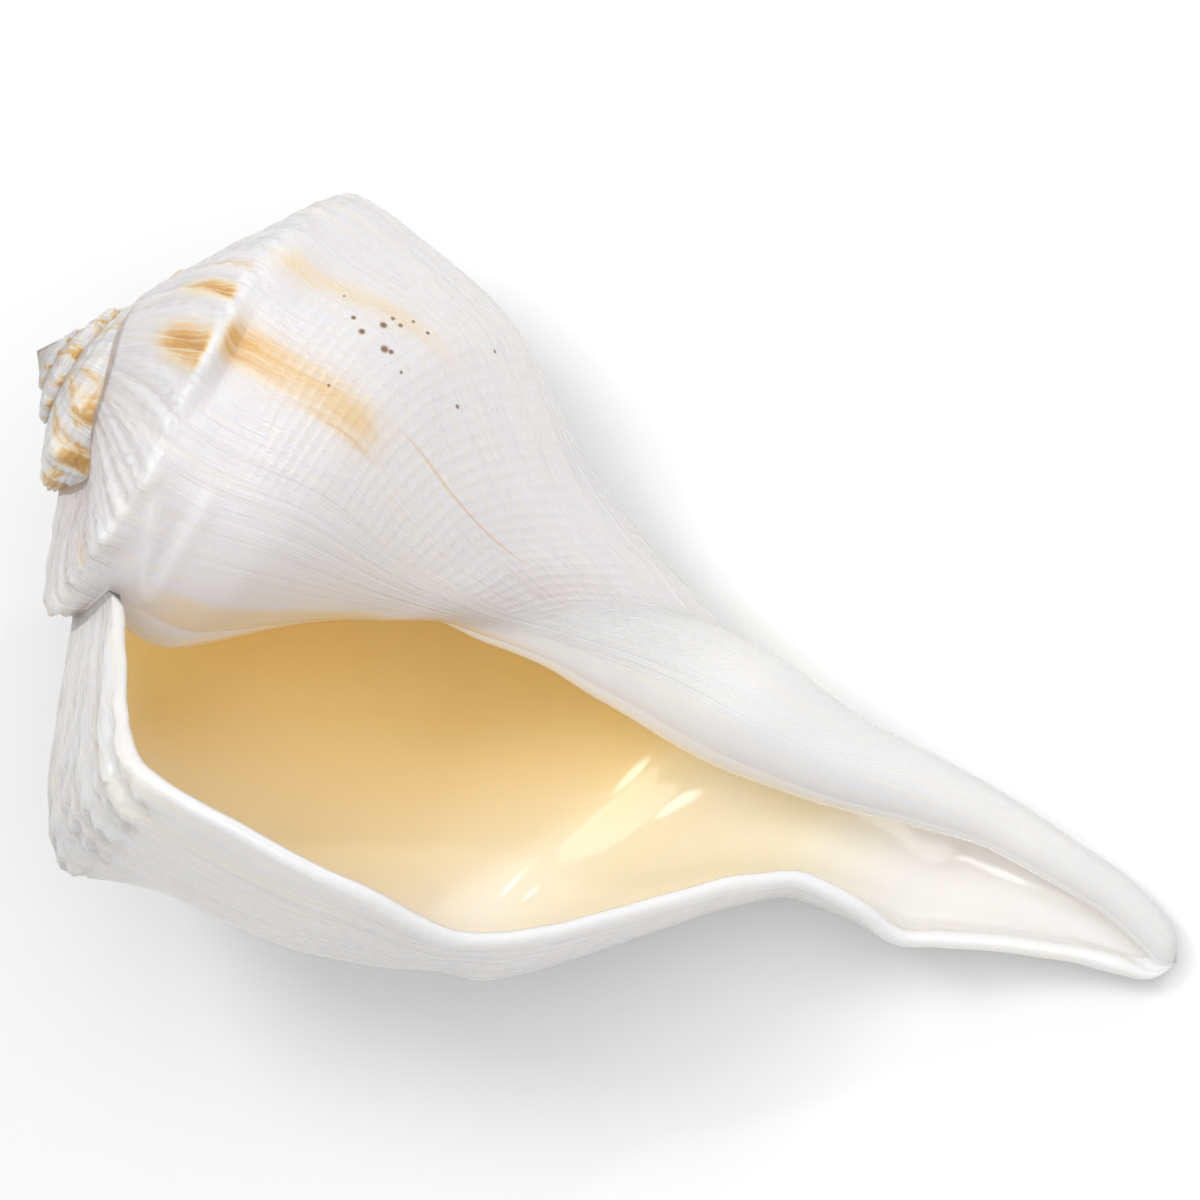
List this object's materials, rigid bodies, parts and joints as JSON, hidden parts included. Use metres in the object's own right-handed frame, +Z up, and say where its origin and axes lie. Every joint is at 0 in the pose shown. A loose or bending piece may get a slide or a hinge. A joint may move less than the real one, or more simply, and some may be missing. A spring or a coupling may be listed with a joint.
{
  "type": "left-handed whelk shell",
  "caption": "Large left-handed sea snail shell, sold as a conch, with a knobbed shoulder, wide open mouth and long open canal, lying mouth up.",
  "frame": {"origin": "centre of the footprint box, on the surface that the shell lies on", "axes": "+Z up, +X from the apex of the spire to the tip of the canal; the mouth faces up"},
  "size_m": [0.1752, 0.102, 0.0965],
  "materials": {
    "shell": "glossy, polished ivory with ochre inside the mouth"
  },
  "bodies": {
    "root": {"shell": "shell"}
  },
  "joints": []
}
